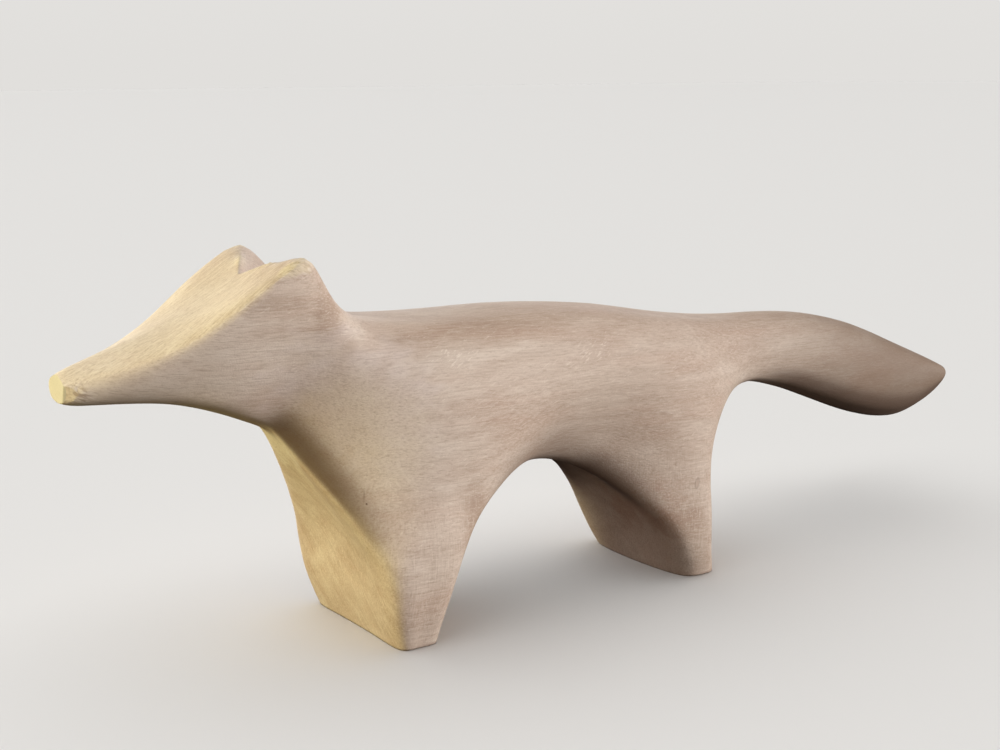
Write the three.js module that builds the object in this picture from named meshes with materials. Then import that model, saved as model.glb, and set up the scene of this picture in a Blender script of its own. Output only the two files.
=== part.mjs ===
// A carved wooden fox.
// Units are millimetres and +Z is up. The fox looks toward -X and its left side faces -Y.
// The origin is on the floor, below the middle of its length and width.
//
// The fox is one block of wood, so it is one closed mesh. A coarse cage of four-sided faces
// gives the form: a ring of twelve corners at each section from nose to tail, and two legs
// let into the underside. Two rounds of Catmull-Clark subdivision round the cage off.
// Creased edges stay crisper: the rims of the feet, the cut end of the nose, the crests of the
// head, the tips of the ears and the notch between them.

import * as THREE from "three";

const rounds = 2;
const crease = { foot: 9, notch: 2.4, ears: 0.6, crest: 0.5, nose: 2.6 };

// Corners of a ring, counted from the crown down the right side and up the left side.
const corners = 12;
const ridge = 2;
const rightEdge = 4;
const leftEdge = 8;

// A section is five levels down one side: crown, ridge, side, edge and keel.
// The crown and the keel lie on the middle plane, and half gives how far the others stand off it.
// x is the place along the body, and lean moves each level back from x where a section slants.
const sections = [
  { name: "nose", x: -90.8, z: [94.9, 92.7, 90.2, 87.3, 86.3], half: [6, 7.2, 5.4] },
  { name: "lip", x: -87.2, z: [97, 93.6, 90, 86.1, 84.7], half: [7.6, 8.6, 5.6] },
  { name: "muzzle", x: -73.5, z: [101, 96.6, 91.2, 85.3, 84], half: [14.2, 14, 8] },
  { name: "brow", x: -57, z: [106.3, 103.8, 97, 84, 82], half: [20.5, 19, 10.5], lean: [-1, 1, -1, 0, 0] },
  { name: "head", x: -44, z: [112, 116.2, 102, 80, 77.3], half: [26.8, 22.5, 12], lean: [0, 3.5, 1, 0, 0] },
  { name: "ears", x: -36, z: [118.4, 129.6, 109, 76.8, 72], half: [26.8, 24.5, 11], lean: [1.8, 16.8, 10.5, 0, 3.5] },
  { name: "nape", x: -23, z: [108.8, 116.2, 98.5, 74, 68.4], half: [15.2, 23.8, 8], lean: [0, 9.2, 12, -7, -1] },
  { name: "chest", x: -4, z: [103, 103, 86, 65.8, 58], half: [15.5, 27.8, 6], lean: [0, 1, 5, -23, -13] },
  { name: "shoulder", x: 16, z: [102, 100, 82, 50, 48], half: [19, 31.4, 30], lean: [0, -1, 0, -13.5, -8] },
  { name: "elbow", x: 39, z: [101.8, 98.8, 79, 41, 46.8], half: [20, 31.9, 30.5] },
  { name: "belly", x: 65.5, z: [101.7, 98.9, 77, 52, 51.2], half: [20, 30.5, 15.5], lean: [0, 0, 0, -3.5, 0] },
  { name: "flank", x: 98, z: [98.2, 95.4, 75, 43.8, 40], half: [19, 28.5, 12], lean: [0, 0, -1, -13.5, -1] },
  { name: "hip", x: 116, z: [94.5, 91.4, 71, 37, 37], half: [18, 28.4, 26.8], lean: [0, 2, 1.5, -6, 0] },
  { name: "rump", x: 136, z: [90.7, 88.7, 71.7, 46, 46.8], half: [14, 24, 28], lean: [0, 2, 0, -1.5, -1.5] },
  { name: "root", x: 158, z: [87.9, 86.4, 76, 66.2, 64.8], half: [9, 14, 12], lean: [0, 0, 0, -2, -2] },
  { name: "brush", x: 190, z: [87.9, 83.8, 73, 60.8, 57.8], half: [9, 13, 9], lean: [0, 0, 0, -2, -2] },
  { name: "full", x: 225, z: [80.6, 76, 61, 46.6, 41.4], half: [10, 14.5, 11] },
  { name: "taper", x: 262, z: [64.9, 61.3, 51.2, 40.2, 32.4], half: [8.6, 11.3, 8], lean: [0, 0, 0, -2, -3] },
  { name: "tip", x: 284, z: [55.2, 53.4, 50.6, 45.6, 43.4], half: [5.5, 5.5, 4.2], lean: [0, 1.5, 1, -2, -3.5] },
];
const noseEnd = { x: -90.8, z: 90.7 };
const tailEnd = { x: 290.6, z: 50.6 };

// A leg runs from one section over the next two and down through three rows to its flat foot.
// Each row has its height, the x of its front and back, its half width at those two faces and
// in the middle, and how far the two faces are hollowed.
const legs = {
  front: {
    from: "chest",
    rows: [
      { z: 34, front: -5.3, back: 28, half: 35.4, middle: 34.4, hollow: 3, hollowBack: 2 },
      { z: 14, front: -3.3, back: 20.7, half: 33.8, middle: 32.8, hollow: 2, hollowBack: 1 },
      { z: 0, front: 1.9, back: 16.9, half: 29.6, middle: 28, hollow: 1, hollowBack: 0 },
    ],
  },
  hind: {
    from: "flank",
    rows: [
      { z: 26, front: 107.2, back: 134.3, half: 29.8, middle: 31.6, hollow: 3, hollowBack: 2 },
      { z: 12, front: 114.5, back: 132, half: 31, middle: 32.4, hollow: 2, hollowBack: 1 },
      { z: 0, front: 120.7, back: 136.2, half: 26.4, middle: 28, hollow: -2, hollowBack: 0 },
    ],
  },
};

const wood = { color: 0xb9a393, roughness: 0.82, metalness: 0 };

const cage = { points: [], faces: [], creases: [] };

function addPoint(x, y, z) {
  cage.points.push([x, y, z]);
  return cage.points.length - 1;
}

function addCrease(loop, from, to, sharpness) {
  for (let k = from; k < to; k++) {
    const here = loop[k % loop.length];
    const next = loop[(k + 1) % loop.length];
    cage.creases.push([here, next, sharpness]);
  }
}

// The five levels of a section, with one more corner halfway at the top and at the bottom.
function halfRing({ x, z, half, lean = [0, 0, 0, 0, 0] }) {
  const off = [0, ...half, 0];
  const [crown, ridge, side, edge, keel] = z.map((height, k) => [x + lean[k], off[k], height]);
  const between = (a, b) => a.map((value, k) => (value + b[k]) / 2);
  return [crown, between(crown, ridge), ridge, side, edge, between(edge, keel), keel];
}

function addRing(section) {
  const right = halfRing(section);
  const left = right.slice(1, -1).reverse().map(([x, y, z]) => [x, -y, z]);
  return [...right, ...left].map((corner) => addPoint(...corner));
}

// Skin between two rings, left open over the underside where a leg joins.
function joinRings(ring, next, legHere) {
  for (let k = 0; k < corners; k++) {
    const open = legHere && k >= rightEdge && k < leftEdge;
    if (open) continue;
    const after = (k + 1) % corners;
    cage.faces.push([ring[k], next[k], next[after], ring[after]]);
  }
}

// A ring is closed by a fan of four-sided faces around one middle corner.
function closeRing(ring, end, facesBack) {
  const middle = addPoint(end.x, 0, end.z);
  for (let k = 0; k < corners; k += 2) {
    const [a, b, c] = [ring[k], ring[k + 1], ring[(k + 2) % corners]];
    cage.faces.push(facesBack ? [middle, c, b, a] : [middle, a, b, c]);
  }
}

// One row of a leg, in the order of the opening above it: front face, left side, back, right side.
function addRow({ z, front, back, half, middle, hollow, hollowBack }) {
  const steps = [1, 0.5, 0, -0.5, -1];
  const centre = (front + back) / 2;
  const row = steps.map((t) => addPoint(front + hollow * (1 - t * t), half * t, z));
  row.push(addPoint(centre, -middle, z));
  row.push(...steps.map((t) => addPoint(back - hollowBack * (1 - t * t), -half * t, z)));
  row.push(addPoint(centre, middle, z));
  return row;
}

function closeFoot(rim, { z, front, back, half }) {
  const inner = [0.5, 0, -0.5].map((t) => addPoint((front + back) / 2, half * t, z));
  const grid = [
    rim.slice(0, 5),
    [rim[11], ...inner, rim[5]],
    rim.slice(6, 11).reverse(),
  ];
  for (let a = 0; a < 2; a++) {
    for (let b = 0; b < 4; b++) {
      cage.faces.push([grid[a][b], grid[a + 1][b], grid[a + 1][b + 1], grid[a][b + 1]]);
    }
  }
}

function addLeg(rings, { from, rows }) {
  const start = sections.findIndex((section) => section.name === from);
  const [first, second, third] = rings.slice(start, start + 3);
  const under = (ring) => ring.slice(rightEdge, leftEdge + 1);
  let above = [...under(first), second[leftEdge], ...under(third).reverse(), second[rightEdge]];
  for (const row of rows) {
    const below = addRow(row);
    for (let k = 0; k < corners; k++) {
      const after = (k + 1) % corners;
      cage.faces.push([above[k], below[k], below[after], above[after]]);
    }
    above = below;
  }
  addCrease(above, 0, corners, crease.foot);
  closeFoot(above, rows.at(-1));
}

function legSpans(index) {
  return Object.values(legs).some(({ from }) => {
    const start = sections.findIndex((section) => section.name === from);
    return index === start || index === start + 1;
  });
}

function buildCage() {
  const rings = sections.map(addRing);
  for (let i = 0; i + 1 < rings.length; i++) joinRings(rings[i], rings[i + 1], legSpans(i));
  closeRing(rings[0], noseEnd, false);
  closeRing(rings.at(-1), tailEnd, true);
  for (const leg of Object.values(legs)) addLeg(rings, leg);
  const place = sections.findIndex((section) => section.name === "ears");
  const [ears, nape] = rings.slice(place, place + 2);
  addCrease(ears, corners - ridge, corners + ridge, crease.ears);
  addCrease(ears, corners - 1, corners + 1, crease.notch);
  addCrease([ears[0], nape[0]], 0, 1, crease.notch);
  addCrease(rings[0], 0, corners, crease.nose);
  const headRings = rings.slice(1, place + 1);
  for (const k of [ridge, corners - ridge]) {
    const crest = headRings.map((ring) => ring[k]);
    addCrease(crest, 0, crest.length - 1, crease.crest);
  }
}

function keyOf(a, b) {
  return a < b ? `${a},${b}` : `${b},${a}`;
}

function average(...points) {
  return [0, 1, 2].map((k) => points.reduce((sum, point) => sum + point[k], 0) / points.length);
}

function blend(a, b, share) {
  return a.map((value, k) => value + (b[k] - value) * share);
}

// Every edge once, with its two ends, the faces beside it and its sharpness.
function findEdges({ faces, creases }) {
  const edges = new Map();
  faces.forEach((face, index) => {
    face.forEach((a, k) => {
      const b = face[(k + 1) % 4];
      const key = keyOf(a, b);
      if (!edges.has(key)) edges.set(key, { ends: [a, b], beside: [], sharp: 0 });
      edges.get(key).beside.push(index);
    });
  });
  for (const [a, b, sharp] of creases) edges.get(keyOf(a, b)).sharp = sharp;
  return edges;
}

// Where a corner of the cage moves to, from the middles of the faces and edges around it.
function moveCorner(index, points, facesHere, edgesHere) {
  const here = points[index];
  const count = facesHere.length;
  const middles = edgesHere.map((edge) => edge.middle);
  const around = average(...facesHere);
  const beside = average(...middles);
  const smooth = here.map((value, k) => (around[k] + 2 * beside[k] + (count - 3) * value) / count);
  const creased = edgesHere.filter((edge) => edge.sharp > 0);
  if (creased.length < 2) return smooth;
  const others = creased.map(({ ends }) => points[ends[0] === index ? ends[1] : ends[0]]);
  const crisp = creased.length > 2 ? here : blend(here, average(...others), 0.25);
  const sharp = creased.reduce((sum, edge) => sum + edge.sharp, 0) / creased.length;
  return blend(smooth, crisp, Math.min(1, sharp));
}

function subdivide({ points, faces, creases }) {
  const centres = faces.map((face) => average(...face.map((index) => points[index])));
  const edges = findEdges({ faces, creases });
  const facesAt = points.map(() => []);
  const edgesAt = points.map(() => []);
  faces.forEach((face, index) => face.forEach((corner) => facesAt[corner].push(centres[index])));
  for (const edge of edges.values()) {
    edge.middle = average(...edge.ends.map((end) => points[end]));
    for (const end of edge.ends) edgesAt[end].push(edge);
  }
  const used = (index) => facesAt[index].length > 0;
  const finer = points.map((point, i) => (used(i) ? moveCorner(i, points, facesAt[i], edgesAt[i]) : point));
  const finerCreases = [];
  for (const edge of edges.values()) {
    const [a, b] = edge.ends;
    const smooth = average(edge.middle, average(...edge.beside.map((face) => centres[face])));
    edge.index = finer.push(blend(smooth, edge.middle, Math.min(1, edge.sharp))) - 1;
    if (edge.sharp > 1) finerCreases.push([a, edge.index, edge.sharp - 1], [edge.index, b, edge.sharp - 1]);
  }
  const finerFaces = faces.flatMap((face, index) => {
    const centre = finer.push(centres[index]) - 1;
    const edgeAfter = (k) => edges.get(keyOf(face[k % 4], face[(k + 1) % 4])).index;
    return face.map((corner, k) => [corner, edgeAfter(k), centre, edgeAfter(k + 3)]);
  });
  return { points: finer, faces: finerFaces, creases: finerCreases };
}

function toGeometry({ points, faces }) {
  const used = [...new Set(faces.flat())];
  const place = new Map(used.map((index, order) => [index, order]));
  const geometry = new THREE.BufferGeometry();
  const positions = used.flatMap((index) => points[index]);
  geometry.setAttribute("position", new THREE.Float32BufferAttribute(positions, 3));
  const triangles = faces.flatMap(([a, b, c, d]) => [a, b, c, a, c, d]);
  geometry.setIndex(triangles.map((index) => place.get(index)));
  return geometry;
}

// Puts the origin on the floor, below the middle of the length.
function centreOnFloor(geometry) {
  geometry.computeBoundingBox();
  const { min, max } = geometry.boundingBox;
  geometry.translate(-(min.x + max.x) / 2, 0, -min.z);
}

function makeFox() {
  buildCage();
  let skin = cage;
  for (let round = 0; round < rounds; round++) skin = subdivide(skin);
  const geometry = toGeometry(skin);
  centreOnFloor(geometry);
  geometry.computeVertexNormals();
  const fox = new THREE.Mesh(geometry, new THREE.MeshStandardMaterial(wood));
  fox.name = "fox";
  return fox;
}

const carving = new THREE.Group();
carving.name = "carved_fox";
carving.add(makeFox());

export default carving;
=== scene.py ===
import math

import bpy
import numpy as np
from mathutils import Euler, Matrix, Vector, noise


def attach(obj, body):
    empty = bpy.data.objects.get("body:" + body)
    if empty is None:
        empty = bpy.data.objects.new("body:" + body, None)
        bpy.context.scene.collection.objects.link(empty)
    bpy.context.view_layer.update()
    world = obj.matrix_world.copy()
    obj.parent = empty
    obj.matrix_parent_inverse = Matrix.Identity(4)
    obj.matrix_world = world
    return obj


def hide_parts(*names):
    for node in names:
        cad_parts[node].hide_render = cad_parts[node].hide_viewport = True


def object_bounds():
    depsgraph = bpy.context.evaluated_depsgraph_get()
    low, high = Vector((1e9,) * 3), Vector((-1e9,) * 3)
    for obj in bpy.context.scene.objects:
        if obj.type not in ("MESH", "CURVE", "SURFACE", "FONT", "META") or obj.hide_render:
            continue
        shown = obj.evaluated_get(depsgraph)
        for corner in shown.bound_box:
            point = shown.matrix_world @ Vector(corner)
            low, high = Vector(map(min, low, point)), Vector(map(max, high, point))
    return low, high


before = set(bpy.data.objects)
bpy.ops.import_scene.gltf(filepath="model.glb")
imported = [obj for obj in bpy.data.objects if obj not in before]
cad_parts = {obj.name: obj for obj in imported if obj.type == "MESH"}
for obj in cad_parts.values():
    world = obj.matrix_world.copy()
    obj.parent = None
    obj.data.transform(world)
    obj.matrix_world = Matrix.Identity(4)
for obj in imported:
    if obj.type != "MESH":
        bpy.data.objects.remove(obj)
cadLow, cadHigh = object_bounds()
print("frame loaded:", sorted(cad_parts))

mm = 0.001  # everything below is in metres, as the frame is


# helpers

def deselectAll():
    bpy.ops.object.select_all(action="DESELECT")


def activate(piece):
    deselectAll()
    piece.select_set(True)
    bpy.context.view_layer.objects.active = piece


def toLinear(hexColour):
    # sRGB hex to the linear colour that a shader takes
    channels = [int(hexColour[k:k + 2], 16) / 255 for k in (1, 3, 5)]
    linear = [c / 12.92 if c <= 0.04045 else ((c + 0.055) / 1.055) ** 2.4 for c in channels]
    return (*linear, 1.0)


def addNode(tree, kind, settings=None, inputs=None):
    # one node with its settings; an input is a value or another node's output
    node = tree.nodes.new(kind)
    for name, value in (settings or {}).items():
        setattr(node, name, value)
    for name, value in (inputs or {}).items():
        if isinstance(value, bpy.types.NodeSocket):
            tree.links.new(value, node.inputs[name])
        else:
            node.inputs[name].default_value = value
    return node


# the carving: a copy of the solid, rounded finer and given the marks of its tools

carving = {
    "mergeDistance": 0.01 * mm,
    "pairAngle": 80,  # degrees; how uneven two triangles may be and still become one quad
    "smoothing": 2,  # rounds of subdivision
    "fitRounds": 3,  # rounds of moving the corners out before it
    "sharpAngle": 38,  # degrees; edges sharper than this are cut edges, as at the feet, nose and notch
    "cutCrease": 0.9,

    # Lines along the hollows beside the ridges of the legs, the crest of the head and the belly over the
    # arch, which all lie on both sides; beside the legs' ridges and the belly they also carry painted
    # shade. Each point has its place in mm and how strong the line is.
    "legHollows": [
        [(-132, 3, 77, 0.15), (-124, 8, 70.5, 0.95), (-117.5, 13, 61, 1),
         (-111.5, 19.5, 51, 0.8), (-105.5, 25.5, 41, 0.5)],
        [(-24, 7, 49, 0.3), (-10, 12, 43, 0.9), (2, 18, 34.5, 0.65),
         (9.5, 25, 26.5, 0.3), (15, 28.5, 14, 0.1), (21, 28, 0, 0)],
    ],
    "crest": [(-178, 11.5, 94, 0), (-163.5, 16.4, 99.4, 0.8), (-152, 20.3, 105.6, 1),
              (-139.5, 23.8, 113.9, 1), (-132, 24.5, 118, 0)],
    "belly": [(-62, 27, 38, 0.15), (-50, 25, 50, 0.4), (-33, 22, 54, 0.42), (-18, 14, 50, 0.35)],
    "darkReach": (13.5 * mm, 16 * mm, 16 * mm),  # how far painted shade reaches from each hollow and the belly

    "ridgeRounding": 60,  # rounds of smoothing on the ridges of the legs, which are soft
    "ridgeReach": (17 * mm, 8 * mm),  # from this far off a line, and full within
    "crestRounding": 16,  # and on the crest, which is worn only on the left
    "crestReach": (7 * mm, 3 * mm),
    "midArch": -50 * mm,  # x between the front and the hind leg
    "ridgeEnds": (10 * mm, -2 * mm),  # height at which the front and the hind ridge are crisp again

    # Unevenness of the surface: size, stretch along x, y and z, shift of the pattern, octaves and depth.
    "waves": {
        "drift": (26 * mm, (1.4, 1, 1), (0, 0, 0), 1, 0.2 * mm),  # slow waves that the rasp leaves
        "facets": (7 * mm, (1.6, 1, 1), (9, 2, 5), 1, 0.07 * mm),
        "fibres": (1.7 * mm, (2.2, 1, 0.7), (3, 7, 1), 3, 0.36 * mm),  # torn up on the crests
        "chips": (3 * mm, (1, 1, 1), (5, 1, 8), 3, 0.8 * mm),
        "raggedEdge": (4 * mm, (2, 1, 1), (2, 6, 4), 2, 0.35),  # of the spots, as a share of their reach
    },
    "octaveDrop": 0.8,  # how fast finer octaves grow weaker
    "octaveStep": 2.0,  # how much finer each is than the last
    "chipShares": {"notch": 1, "nose": 0.4, "feet": 0.8},
    "tornStrength": 1.9,  # of the fibres on the crests
    "noseCorner": (-187.3, -6.6, 89.8),  # in mm, a point on the plane that splits off the corner
    "noseFacing": (-0.6, -0.76, -0.25),
    "noseCut": 0.95,  # the share that goes of what lies beyond the plane
    "noseBack": -150 * mm,  # nothing behind this x is cut

    # Rounds of averaging, by which a mark is told from its surroundings or softened.
    "rounds": {"crest": 14, "rim": 5, "hollow": 10, "torn": 22, "ridge": 6, "worn": 3, "dark": 6},

    # Where a mark starts and where it is full. A bulge, an x or a height is in metres, "along" runs
    # from 0 at the nose to 1 at the tail tip, and a facing is a part of the surface's normal.
    "fades": {
        "aboveFoot": (0, 14 * mm),
        "crest": (0.12 * mm, 0.75 * mm),  # bulge
        "rim": (0.227 * mm, 0.5 * mm),  # bulge of the cut edges
        "hollow": (0.04 * mm, 0.5 * mm),
        "headAlong": (0.235, 0.2),
        "headHeight": (58 * mm, 66 * mm),
        "sole": (4 * mm, 0.5 * mm),
        "notchAlong": (0.125, 0.14),
        "notchHeight": (112 * mm, 115 * mm),
        "footRimTop": (3 * mm, 1 * mm),
        "footRimLow": (-0.5 * mm, 0.5 * mm),  # half at the floor
        "spot": (1.25, 0.35),  # distance from its middle, as a share of its reach
        "sideFacing": (0.28, 0.48),
        "behindFrontLeg": (-60 * mm, -40 * mm),
        "browFacing": (0.35, 0.7),
        "tailAlong": (0.6, 0.95),
        "snoutAlong": (0.2, 0.08),
        "tailUnderAlong": (0.66, 0.76),
        "tailUnderFacing": (0.1, 0.5),
        "underFacing": (0.5, 0.85),
        "faceFacing": (0.55, 0.8),
        "faceHeight": (80 * mm, 70 * mm),
        "endFacing": (0.6, 0.9),
        "noseEnd": (-180 * mm, -184 * mm),
        "lowHeight": (62 * mm, 30 * mm),
    },
    "notchHalfWidth": 21 * mm,
    "browDirection": (-0.45, 0, 0.9),
    "underShare": 0.6,  # how dark the painted shade on the belly's underside is, beside the tail's
    "faceBack": -70 * mm,  # the front leg's face is ahead of this x

    # Spots that stand out from the rest: the middle and the reach in mm, and how strong.
    "spots": {
        "broken": [  # splinters at the cut corner of the nose
            ((-185, -7, 89.5), (5, 3.5, 4.5), 1),
            ((-187.5, 6, 93.5), (2, 2, 1.6), 0.5),
        ],
        "torn": [  # worn tips of the ears
            ((-126, -24, 121.5), (7, 4, 3.5), 0.65),
            ((-125, 24, 121.5), (6, 4, 3), 0.5),
        ],
        "brown": [
            ((-134, -24.6, 112.5), (11, 6, 3.5), 0.9),  # under the crests of the head
            ((-132, 24.6, 112.5), (12, 6, 3), 0.6),
            ((-115, -21, 107), (6, 8, 10), 1),  # painted shade behind the ear
            ((22, -28, 14), (14, 9, 20), 0.6),  # side of the hind leg, toward the foot
            ((-70, -28, 32), (7, 9, 30), 0.9),  # painted shade on the edge of the front leg, on the side of the arch
            ((-66, -21, 97.5), (46, 7, 3.2), 0.5),  # soft streak along the back
        ],
        "pink": [
            ((14, -14, 18), (14, 20, 22), 1),  # face and side of the hind leg
            ((12, -22, 20), (12, 9, 10), 0.45),
            ((134, -12, 56), (24, 8, 8), 0.5),  # tail
            ((-30, -28, 62), (34, 8, 9), 0.3),  # flank
        ],
        "rosy": [((-112, -25, 79), (32, 18, 24), 1)],  # shoulder and side of the neck, pinker: painted shade where the warm lamps should not reach
        "paintedFaceLight": [((-121, 0, 65), (9, 11, 15), 1)],  # painted light on the top of the front leg's face, the palest
        "pale": [
            ((-70, -25, 90), (42, 7, 2.8), 0.5),  # painted highlight in a streak along the flank, where the back turns into the side
            ((-104, -20, 100.5), (4.5, 5, 8), 0.6),  # painted highlight at the foot of the neck
            ((-97, -27, 73), (32, 15, 28), 0.75),  # shoulder, painted light
            ((-128, -20, 92), (22, 12, 12), 0.6),  # neck, painted light
            ((18, -16, 8), (12, 20, 16), 1),  # hind foot, painted light
        ],
        "nicks": [
            ((-74, -24, 90.5), (11, 6, 5.5), 0.9),
            ((-17, -24, 86), (10, 6, 4), 0.8),
            ((-127, -17.5, 92), (12, 6, 6), 0.5),
            ((-60, -27, 76), (48, 9, 15), 0.25),
        ],
    },
}


def copyNode(nodeName, pieceName):
    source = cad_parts[nodeName]
    piece = bpy.data.objects.new(pieceName, source.data.copy())
    bpy.context.scene.collection.objects.link(piece)
    activate(piece)
    pairAngle = math.radians(carving["pairAngle"])
    bpy.ops.object.mode_set(mode="EDIT")
    bpy.ops.mesh.select_all(action="SELECT")
    bpy.ops.mesh.remove_doubles(threshold=carving["mergeDistance"])
    bpy.ops.mesh.tris_convert_to_quads(face_threshold=pairAngle, shape_threshold=pairAngle)
    bpy.ops.mesh.select_all(action="DESELECT")
    bpy.ops.mesh.select_mode(type="EDGE")
    bpy.ops.mesh.edges_select_sharp(sharpness=math.radians(carving["sharpAngle"]))
    bpy.ops.transform.edge_crease(value=carving["cutCrease"])
    bpy.ops.mesh.select_all(action="DESELECT")
    bpy.ops.object.mode_set(mode="OBJECT")
    piece.data.materials.clear()
    return piece


def readPoints(mesh):
    points = np.empty(len(mesh.vertices) * 3)
    mesh.vertices.foreach_get("co", points)
    return points.reshape(-1, 3)


def writePoints(mesh, points):
    mesh.vertices.foreach_set("co", points.ravel())
    mesh.update()


def readMesh(mesh):
    normals = np.empty(len(mesh.vertices) * 3)
    mesh.vertices.foreach_get("normal", normals)
    edges = np.empty(len(mesh.edges) * 2, int)
    mesh.edges.foreach_get("vertices", edges)
    return readPoints(mesh), normals.reshape(-1, 3), edges.reshape(-1, 2)


def setMask(mesh, name, values):
    attribute = mesh.attributes.new(name, "FLOAT", "POINT")
    attribute.data.foreach_set("value", np.clip(values, 0, 1).astype(np.float32))


def smoothForm(piece):
    # Subdivision draws a form in, so its corners are first moved out until they land on the solid again.
    activate(piece)
    rounding = piece.modifiers.new("rounding", "SUBSURF")
    rounding.levels = 1
    wanted = readPoints(piece.data)
    corners = wanted.copy()
    for _ in range(carving["fitRounds"]):
        rounded = piece.evaluated_get(bpy.context.evaluated_depsgraph_get())
        corners += wanted - readPoints(rounded.data)[:len(corners)]
        writePoints(piece.data, corners)
    rounding.levels = carving["smoothing"]
    rounding.render_levels = carving["smoothing"]
    bpy.ops.object.modifier_apply(modifier=rounding.name)
    bpy.ops.object.shade_smooth()


def spread(values, edges, rounds):
    # averages each vertex with its neighbours, a number of times
    first, second = edges[:, 0], edges[:, 1]
    count = np.bincount(edges.ravel(), minlength=len(values)).astype(float)
    flat = values.reshape(len(values), -1)
    for _ in range(rounds):
        total = np.stack([
            np.bincount(first, column[second], len(flat)) + np.bincount(second, column[first], len(flat))
            for column in flat.T
        ], axis=1)
        flat = 0.5 * flat + 0.5 * total / count[:, None]
    return flat.reshape(values.shape)


def standOut(points, normals, edges, rounds):
    # how far each vertex stands out of its surroundings: crests positive, hollows negative
    return ((points - spread(points, edges, rounds)) * normals).sum(1)


def smoothStep(low, high, values):
    # 0 before low, 1 beyond high and an even rise between; low may be the larger one
    t = np.clip((values - low) / (high - low), 0, 1)
    return t * t * (3 - 2 * t)


def fade(name, values):
    return smoothStep(*carving["fades"][name], values)


def wave(name, points):
    # the unevenness of this name at each point, up to about its depth both ways
    size, stretch, shift, octaves, depth = carving["waves"][name]
    scaled = points / size / np.array(stretch) + np.array(shift)
    if octaves == 1:
        return np.array([noise.noise(p) for p in scaled]) * depth
    drop, step = carving["octaveDrop"], carving["octaveStep"]
    return np.array([noise.fractal(p, drop, step, octaves) for p in scaled]) * depth


def spotMask(points, kind):
    # how far each vertex lies inside the spots of one kind, 0 to 1, with a ragged edge
    total = np.zeros(len(points))
    ragged = wave("raggedEdge", points)
    for middle, reach, strength in carving["spots"][kind]:
        away = np.linalg.norm((points - np.array(middle) * mm) / (np.array(reach) * mm), axis=1)
        total = np.maximum(total, strength * fade("spot", away + ragged))
    return total


def lineMask(points, lines, far, near):
    # 0 beyond far from the lines and 1 within near, and the same times the strength along each line
    folded = np.column_stack([points[:, 0], np.abs(points[:, 1]), points[:, 2]])
    plain, strong = np.zeros(len(points)), np.zeros(len(points))
    for line in lines:
        for start, end in zip(line, line[1:]):
            first, last = np.array(start[:3]) * mm, np.array(end[:3]) * mm
            share = np.clip((folded - first) @ (last - first) / ((last - first) ** 2).sum(), 0, 1)
            away = np.linalg.norm(folded - first - share[:, None] * (last - first), axis=1)
            inside = smoothStep(far, near, away)
            plain = np.maximum(plain, inside)
            strong = np.maximum(strong, inside * (start[3] + (end[3] - start[3]) * share))
    return plain, strong


def easeRidges(mesh):
    # rounds the ridges beside the leg faces, and the crest of the head where it is worn
    points, _, edges = readMesh(mesh)
    rounds = carving["rounds"]
    ridge, _ = lineMask(points, carving["legHollows"], *carving["ridgeReach"])
    frontEnd, hindEnd = carving["ridgeEnds"]
    ridgeEnd = np.where(points[:, 0] < carving["midArch"], frontEnd, hindEnd)
    ridge = spread(ridge * fade("aboveFoot", points[:, 2] - ridgeEnd), edges, rounds["ridge"])
    points += ridge[:, None] * (spread(points, edges, carving["ridgeRounding"]) - points)
    _, worn = lineMask(points, [carving["crest"]], *carving["crestReach"])
    worn = spread(worn * (points[:, 1] < 0), edges, rounds["worn"])
    points += worn[:, None] * (spread(points, edges, carving["crestRounding"]) - points)
    writePoints(mesh, points)


def cutNoseCorner(points, x):
    # moves what lies beyond the plane of the cut onto it
    facing = np.array(carving["noseFacing"])
    facing /= np.linalg.norm(facing)
    beyond = (points - np.array(carving["noseCorner"]) * mm) @ facing
    cut = (beyond > 0) & (x < carving["noseBack"])
    points -= np.where(cut, beyond * carving["noseCut"], 0)[:, None] * facing


def darkMask(points, normals, edges, x):
    # painted shade in the hollows, on the side of the ridge that turns away from the leg's face
    dark = np.zeros(len(points))
    for line, reach in zip([*carving["legHollows"], carving["belly"]], carving["darkReach"]):
        dark = np.maximum(dark, lineMask(points, [line], reach, 0)[1])
    sideways = np.maximum(fade("sideFacing", np.abs(normals[:, 1])), fade("behindFrontLeg", x))
    return spread(dark * sideways, edges, carving["rounds"]["dark"])


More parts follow.
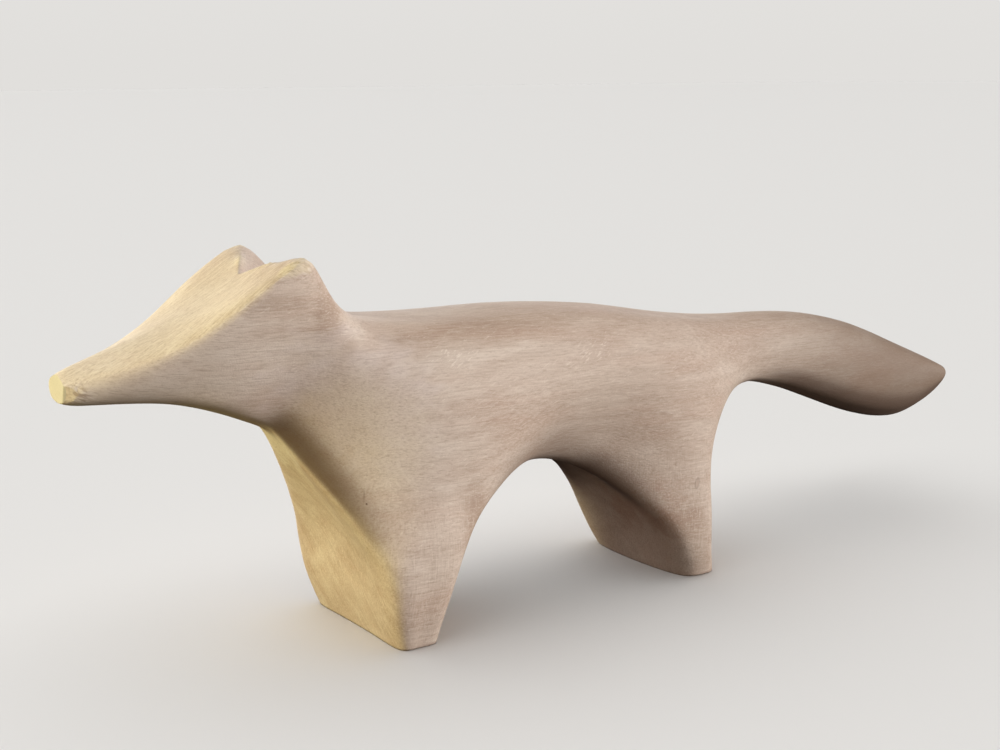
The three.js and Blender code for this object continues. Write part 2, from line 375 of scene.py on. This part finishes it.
def carve(piece):
    # gives the marks of the tools as relief, and masks that tell the material where its tints and its
    # painted shade and light lie
    mesh = piece.data
    easeRidges(mesh)
    points, normals, edges = readMesh(mesh)
    x, y, z = points.T
    along = (x - cadLow.x) / (cadHigh.x - cadLow.x)
    rounds = carving["rounds"]

    bulge = standOut(points, normals, edges, rounds["crest"])
    crest = fade("crest", bulge)
    # the hollows, which get painted shade
    hollow = spread(fade("hollow", -bulge), edges, rounds["hollow"])
    rim = fade("rim", standOut(points, normals, edges, rounds["rim"]))
    head = fade("headAlong", along) * fade("headHeight", z)
    tornCrest = spread(crest * head, edges, rounds["torn"]) * carving["tornStrength"]
    torn = np.maximum(tornCrest, spotMask(points, "torn"))
    broken = spotMask(points, "broken")

    inNotch = fade("notchAlong", along) * fade("notchHeight", z) * (np.abs(y) < carving["notchHalfWidth"])
    shares = carving["chipShares"]
    chipped = shares["notch"] * head * inNotch * rim
    chipped += shares["nose"] * broken
    chipped += shares["feet"] * fade("footRimTop", z) * fade("footRimLow", z) * rim
    move = (wave("drift", points) + wave("facets", points)) * (1 - fade("sole", z))
    move += wave("fibres", points) * torn
    move -= np.abs(wave("chips", points)) * chipped
    points = points + normals * move[:, None]
    cutNoseCorner(points, x)
    points[:, 2] = np.maximum(points[:, 2], cadLow.z)
    writePoints(mesh, points)

    ahead, down = -normals[:, 0], -normals[:, 2]
    tailUnder = fade("tailUnderAlong", along) * fade("tailUnderFacing", down)
    masks = {
        "crest": crest,
        "hollow": hollow,
        "torn": torn,
        "broken": broken,
        # painted shade beside the leg ridges and under the belly
        "dark": darkMask(points, normals, edges, x),
        "brow": head * fade("browFacing", normals @ np.array(carving["browDirection"])),
        "tail": fade("tailAlong", along),
        "head": fade("snoutAlong", along),
        # painted shade on the undersides of the belly, neck and tail
        "under": np.maximum(carving["underShare"] * fade("underFacing", down), tailUnder),
        "face": fade("faceFacing", ahead) * fade("faceHeight", z) * (x < carving["faceBack"]),
        "endGrain": fade("endFacing", ahead) * fade("noseEnd", x),
        "low": fade("lowHeight", z),
    }
    # some brown, pale and rosy spots and the spot on the front leg's face are painted light and shade
    for kind in ("brown", "pink", "pale", "paintedFaceLight", "rosy", "nicks"):
        masks[kind] = spotMask(points, kind)
    for name, values in masks.items():
        setMask(mesh, name, values)
    return list(masks)


# bare wood, sanded by hand

wood = {
    "pale": "#cdb9a8",
    "mid": "#bfa795",
    "brown": "#94765f",
    "pink": "#b3866c",
    # also the colour of the painted shade in the hollows, beside the leg ridges and on the undersides
    "dark": "#5c4435",
    # the tail's tone, partly painted shade
    "umber": "#705842",
    # also the colour of the painted light on the shoulder, neck, head and front leg's face
    "light": "#e9dccd",
    # a pinker tone that stands in for shade from the warm lamps
    "rosy": "#d9c9c4",
    "straw": "#e6d6ae",
    "grey": "#aeaca0",
    "ior": 1.45,
    "roughness": (0.62, 0.8),
    "roughnessRange": (0.3, 0.7),  # of the fibre pattern, between the smoothest and the roughest
    "ringSpacing": 7.5 * mm,
    "ringTilt": 20,  # degrees that the growth layers lean toward the left side
    "ringDip": 0.03,  # their slope along the body
    "ringBend": 60 * mm,
    "bump": 0.5,
    "reliefHeight": 0.14 * mm,
    # Each pattern: size in mm along x, y and z, turn in degrees about x, y and z, detail, distortion.
    # Real fibre bundles are about 0.2 mm wide, so these are drawn as coarse as they need to show.
    "patterns": {
        "fibres": ((11, 0.6, 0.6), (0, 2, 0), 3, 0.2),
        "grain": ((3.2, 0.42, 0.42), (0, 3, 0), 1, 0.0),
        "speckle": ((0.5, 0.42, 0.42), (0, 0, 0), 0, 0.0),
        "sanding": ((0.5, 0.5, 6), (0, 4, 0), 2, 0.0),
        "crossSanding": ((7, 0.5, 0.5), (0, -24, 8), 1, 0.0),
        "streaks": ((70, 7, 4.5), (0, 3, 0), 3, 0.3),
        "clouds": ((34, 18, 16), (0, 10, 0), 3, 0.5),
        "bend": ((110, 45, 45), (0, 0, 0), 2, 0.0),
        "tornFibres": ((3.6, 0.9, 0.9), (0, 26, 0), 3, 0.4),
        "slopeFibres": ((7, 0.6, 0.6), (0, -33, 0), 2, 0.3),
        "faceStreaks": ((30, 1.2, 16), (-32, 0, 0), 3, 0.5),
        "nickMarks": ((5, 0.6, 0.5), (0, -26, 0), 1, 0.4),
    },
    # Each small knot or crack: middle and half size in mm, turn in degrees.
    "knots": {
        "haunchKnot": ((25.2, -28.5, 34.8), (1.3, 3, 2.5), (0, 22, 0)),
        "legKnot": ((-104.9, -24.4, 48.4), (0.4, 3, 0.5), (0, 0, 0)),
        "legCrack": ((-105.2, -24, 51), (0.3, 4, 3), (0, 8, 0)),
    },
    # Each stain, painted shade or painted light: pattern or mask, where it starts and where it is full,
    # strength, colour, and the mask that it keeps to. A later stain lies over an earlier one.
    "stainsAndPaintedShading": [
        ("clouds", 0.35, 0.65, 0.8, "mid", None),
        ("ring", 0.12, 0.42, 0.12, "brown", None),
        ("streaks", 0.5, 0.72, 0.13, "pink", None),
        ("streaks", 0.48, 0.3, 0.14, "light", None),
        ("pink", 0.0, 1.0, 0.5, "pink", None),
        ("brown", 0.0, 1.0, 0.45, "brown", None),
        # the head paler: partly its own tone, partly painted light on its sides
        ("head", 0.0, 1.0, 0.4, "light", None),
        # painted light on the flank, neck, shoulder and hind foot
        ("pale", 0.0, 1.0, 0.4, "light", None),
        # painted shade: pinker where the warm lamps should not reach
        ("rosy", 0.0, 1.0, 0.35, "rosy", None),
        # painted light on the top of the front leg's face
        ("paintedFaceLight", 0.0, 1.0, 0.8, "light", None),
        # painted shade in the hollows
        ("hollow", 0.2, 1.0, 0.12, "dark", None),
        ("fibres", 0.52, 0.7, 0.2, "light", None),
        ("fibres", 0.48, 0.32, 0.22, "brown", None),
        ("grain", 0.54, 0.75, 0.22, "light", None),
        ("grain", 0.46, 0.26, 0.22, "brown", None),
        ("speckle", 0.6, 0.8, 0.14, "light", None),
        ("speckle", 0.4, 0.2, 0.14, "brown", None),
        ("sanding", 0.54, 0.74, 0.24, "light", "low"),
        ("sanding", 0.46, 0.26, 0.24, "brown", "low"),
        ("crossSanding", 0.66, 0.78, 0.35, "light", None),
        ("haunchKnot", 0.0, 0.3, 0.3, "dark", None),
        ("haunchKnot", 0.3, 0.6, 0.7, "mid", None),
        ("legKnot", 0.1, 0.6, 0.8, "dark", None),
        ("legCrack", 0.1, 0.7, 0.35, "dark", None),
        ("nickMarks", 0.6, 0.67, 0.65, "light", "nicks"),
        ("faceStreaks", 0.52, 0.68, 0.16, "brown", "face"),
        ("faceStreaks", 0.46, 0.34, 0.14, "light", "face"),
        ("slopeFibres", 0.52, 0.68, 0.45, "light", "brow"),
        ("slopeFibres", 0.46, 0.3, 0.25, "brown", "brow"),
        ("torn", 0.15, 0.7, 0.5, "straw", None),
        ("tornFibres", 0.5, 0.62, 0.8, "light", "torn"),
        ("tornFibres", 0.46, 0.36, 0.5, "brown", "torn"),
        ("tornFibres", 0.5, 0.62, 0.7, "light", "broken"),
        ("tornFibres", 0.48, 0.38, 0.5, "brown", "broken"),
        ("crest", 0.2, 1.0, 0.14, "light", None),
        # darker towards the tail: partly its own browner tone, partly painted shade
        ("tail", 0.0, 1.0, 0.63, "umber", None),
        # painted shade on the undersides
        ("under", 0.0, 1.0, 0.7, "dark", None),
        ("endGrain", 0.0, 1.0, 0.6, "grey", None),
        # painted shade beside the leg ridges and under the belly
        ("dark", 0.0, 1.0, 0.88, "dark", None),
    ],
    # Each part of the relief: pattern, height, mask.
    "relief": [
        ("fibres", 0.7, None),
        ("grain", 0.8, None),
        ("speckle", 0.3, None),
        ("sanding", 0.8, "low"),
        ("slopeFibres", 1.6, "brow"),
        ("tornFibres", 3.0, "torn"),
        ("tornFibres", 4.0, "broken"),
        ("nickMarks", 2.0, "nicks"),
    ],
}


def handSandedLimewood(maskNames):
    # Limewood, rasped and sanded by hand and left bare: a matte beige surface with fine fibres along the
    # body, faint growth layers, pinkish and brown clouds, and short sanding marks across the legs. Its
    # colour also holds painted shade in the hollows, beside the leg ridges and on the undersides, and
    # painted light on the shoulder, neck, head and front leg's face.
    material = bpy.data.materials.new("hand_sanded_limewood")
    material.use_nodes = True
    tree = material.node_tree
    tree.nodes.clear()
    place = addNode(tree, "ShaderNodeTexCoord").outputs["Object"]

    sources = {None: 1.0}
    for name, (size, turn, detail, distortion) in wood["patterns"].items():
        mapping = addNode(tree, "ShaderNodeMapping", {"vector_type": "TEXTURE"}, {
            "Vector": place,
            "Rotation": [math.radians(angle) for angle in turn],
            "Scale": [length * mm for length in size],
        })
        sources[name] = addNode(tree, "ShaderNodeTexNoise", None, {
            "Vector": mapping.outputs[0], "Scale": 1.0, "Detail": detail, "Distortion": distortion,
        }).outputs["Fac"]
    for name, (middle, size, turn) in wood["knots"].items():
        mapping = addNode(tree, "ShaderNodeMapping", {"vector_type": "TEXTURE"}, {
            "Vector": place,
            "Location": [length * mm for length in middle],
            "Rotation": [math.radians(angle) for angle in turn],
            "Scale": [length * mm for length in size],
        })
        sources[name] = addNode(tree, "ShaderNodeTexGradient", {"gradient_type": "SPHERICAL"}, {
            "Vector": mapping.outputs[0],
        }).outputs["Fac"]
    for name in maskNames:
        sources[name] = addNode(tree, "ShaderNodeAttribute", {"attribute_name": name}).outputs["Fac"]

    # growth layers: planes that lean to the left side, bent a little by slow noise
    lean = math.radians(wood["ringTilt"])
    height = addNode(tree, "ShaderNodeVectorMath", {"operation": "DOT_PRODUCT"}, {
        0: place, 1: (wood["ringDip"], -math.sin(lean), math.cos(lean)),
    })
    bent = addNode(tree, "ShaderNodeMath", {"operation": "MULTIPLY_ADD"}, {
        0: sources["bend"], 1: wood["ringBend"], 2: height.outputs["Value"],
    })
    layers = addNode(tree, "ShaderNodeMath", {"operation": "DIVIDE"}, {
        0: bent.outputs[0], 1: wood["ringSpacing"],
    })
    sources["ring"] = addNode(tree, "ShaderNodeMath", {"operation": "PINGPONG"}, {
        0: layers.outputs[0], 1: 0.5,
    }).outputs[0]

    colour = toLinear(wood["pale"])
    for source, start, full, strength, tint, mask in wood["stainsAndPaintedShading"]:
        amount = addNode(tree, "ShaderNodeMapRange", {"interpolation_type": "SMOOTHSTEP"}, {
            "Value": sources[source], "From Min": start, "From Max": full, "To Max": strength,
        })
        share = addNode(tree, "ShaderNodeMath", {"operation": "MULTIPLY"}, {
            0: amount.outputs["Result"], 1: sources[mask],
        })
        colour = addNode(tree, "ShaderNodeMix", {"data_type": "RGBA"}, {
            0: share.outputs[0], 6: colour, 7: toLinear(wood[tint]),
        }).outputs[2]

    relief = 0.0
    for source, rise, mask in wood["relief"]:
        part = addNode(tree, "ShaderNodeMath", {"operation": "MULTIPLY"}, {
            0: sources[source], 1: sources[mask],
        })
        relief = addNode(tree, "ShaderNodeMath", {"operation": "MULTIPLY_ADD"}, {
            0: part.outputs[0], 1: rise, 2: relief,
        }).outputs[0]
    bump = addNode(tree, "ShaderNodeBump", None, {
        "Strength": wood["bump"], "Distance": wood["reliefHeight"], "Height": relief,
    })
    low, high = wood["roughnessRange"]
    smooth, rough = wood["roughness"]
    roughness = addNode(tree, "ShaderNodeMapRange", None, {
        "Value": sources["fibres"], "From Min": low, "From Max": high, "To Min": smooth, "To Max": rough,
    })
    shader = addNode(tree, "ShaderNodeBsdfPrincipled", None, {
        "Base Color": colour,
        "Roughness": roughness.outputs["Result"],
        "IOR": wood["ior"],
        "Normal": bump.outputs["Normal"],
    })
    addNode(tree, "ShaderNodeOutputMaterial", None, {"Surface": shader.outputs["BSDF"]})
    return material


def makeFox():
    fox = copyNode("fox", "fox_carving")
    smoothForm(fox)
    maskNames = carve(fox)
    fox.data.materials.append(handSandedLimewood(maskNames))
    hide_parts("fox")
    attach(fox, "root")
    triangles = sum(len(face.vertices) - 2 for face in fox.data.polygons)
    print("fox carved:", triangles, "triangles")
    return fox


# the room around it: a pale floor, soft light and the camera

studio = {
    "floor": "#e2e0dd",
    "floorSize": 60.0,
    "floorRoughness": 0.95,
    "horizon": "#e1dfdc",
    "zenith": "#ebeae8",
    "zenithRise": 0.25,  # sine of the angle over the horizon at which the sky has its zenith colour
}


def makeFloor():
    deselectAll()
    bpy.ops.mesh.primitive_plane_add(size=studio["floorSize"], location=(0, 0, cadLow.z))
    floor = bpy.context.active_object
    floor.name = "floor"
    bpy.ops.object.transform_apply(location=True)
    floor.visible_diffuse = False  # it throws no light up, so undersides stay dark
    floor.visible_glossy = False
    material = bpy.data.materials.new("matte_studio_paper")
    material.use_nodes = True
    shader = material.node_tree.nodes["Principled BSDF"]
    shader.inputs["Base Color"].default_value = toLinear(studio["floor"])
    shader.inputs["Roughness"].default_value = studio["floorRoughness"]
    floor.data.materials.append(material)
    print("floor laid")
    return floor


def makeSky():
    # a pale surround that is seen but gives no light; the lights do that
    world = bpy.data.worlds.new("studio")
    bpy.context.scene.world = world
    world.use_nodes = True
    tree = world.node_tree
    direction = addNode(tree, "ShaderNodeTexCoord").outputs["Generated"]
    height = addNode(tree, "ShaderNodeSeparateXYZ", None, {"Vector": direction}).outputs["Z"]
    rise = addNode(tree, "ShaderNodeMapRange", {"interpolation_type": "SMOOTHSTEP"}, {
        "Value": height, "From Min": 0.0, "From Max": studio["zenithRise"],
    })
    colour = addNode(tree, "ShaderNodeMix", {"data_type": "RGBA"}, {
        0: rise.outputs["Result"], 6: toLinear(studio["horizon"]), 7: toLinear(studio["zenith"]),
    }).outputs[2]
    tree.links.new(colour, tree.nodes["Background"].inputs["Color"])
    world.cycles_visibility.diffuse = False
    world.cycles_visibility.glossy = False
    print("sky made")


# A far light has its spread in degrees. A lamp that stands near has its distance and its size in metres.
# Headings are degrees from +Y toward +X, seen from the fox, and heights are degrees over the floor.
lights = {
    "soft_key": {
        "heading": 133, "height": 9, "spread": 34,
        "strength": 3.6, "colour": "#fffdfc", "on": "fox",
    },
    "front_lamp": {
        "heading": 172, "height": -2, "far": 0.45, "size": 0.1,
        "strength": 0.35, "colour": "#fffefb", "on": "fox",
    },
    "nose_fill": {
        "heading": -95, "height": 3, "spread": 100,
        "strength": 0.5, "colour": "#ffe6d6", "on": "fox",
    },
    "top_fill": {
        "heading": 20, "height": 62, "spread": 120,
        "strength": 0.85, "colour": "#f8f8ff", "on": "fox",
    },
    "back_light": {
        "heading": 15, "height": 12, "spread": 70,
        "strength": 2.2, "colour": "#fdfcff", "on": "fox",
    },
    "warm_high": {
        "heading": -78, "height": 36, "far": 0.7, "size": 0.18,
        "strength": 1.6, "colour": "#fffde0", "on": "fox",
    },
    "warm_middle": {
        "heading": -82, "height": 16, "far": 0.7, "size": 0.16,
        "strength": 2.2, "colour": "#fffdce", "on": "fox",
    },
    "warm_low": {
        "heading": -84, "height": -2, "far": 0.5, "size": 0.1,
        "strength": 1.15, "colour": "#ffef9c", "on": "fox",
    },
    "floor_light": {
        "heading": -40, "height": 70, "spread": 110,
        "strength": 3.4, "colour": "#ffffff", "on": "floor",
    },
}
lampAim = Vector((-0.12, 0, 0.07))  # the neck


def addLights(receivers):
    for name, light in lights.items():
        near = "far" in light
        lamp = bpy.data.lights.new(name, "AREA" if near else "SUN")
        lamp.energy = light["strength"]
        lamp.color = toLinear(light["colour"])[:3]
        if near:
            lamp.shape = "DISK"
            lamp.size = light["size"]
        else:
            lamp.angle = math.radians(light["spread"])
        heading, height = math.radians(light["heading"]), math.radians(light["height"])
        level = math.cos(height)
        toLight = Vector((math.sin(heading) * level, math.cos(heading) * level, math.sin(height)))
        holder = bpy.data.objects.new(name, lamp)
        holder.rotation_euler = toLight.to_track_quat("Z", "Y").to_euler()
        holder.location = lampAim + toLight * light.get("far", 1)
        bpy.context.scene.collection.objects.link(holder)
        lit = bpy.data.collections.new("lit_by_" + name)
        lit.objects.link(receivers[light["on"]])
        holder.light_linking.receiver_collection = lit
    print("lights placed:", len(lights))


view = {
    "place": (-319.9 * mm, -408.8 * mm, 174.9 * mm),
    "heading": 34.52,  # degrees from +Y toward +X
    "pitch": 11.21,  # degrees down
    "roll": -0.465,
    "lens": 54,
    "sensor": 36,
    "nearest": 10 * mm,
}


def makeCamera():
    camera = bpy.data.cameras.new("camera")
    camera.lens = view["lens"]
    camera.sensor_width = view["sensor"]
    camera.clip_start = view["nearest"]
    heading, pitch, roll = (math.radians(view[name]) for name in ("heading", "pitch", "roll"))
    turn = Euler((math.pi / 2 - pitch, 0, -heading)).to_matrix().to_4x4()
    holder = bpy.data.objects.new("camera", camera)
    holder.matrix_world = Matrix.Translation(view["place"]) @ turn @ Matrix.Rotation(roll, 4, "Z")
    bpy.context.scene.collection.objects.link(holder)
    bpy.context.scene.camera = holder
    print("camera set")


fox = makeFox()
floor = makeFloor()
makeSky()
addLights({"fox": fox, "floor": floor})
makeCamera()
bpy.context.scene.view_settings.view_transform = "Standard"
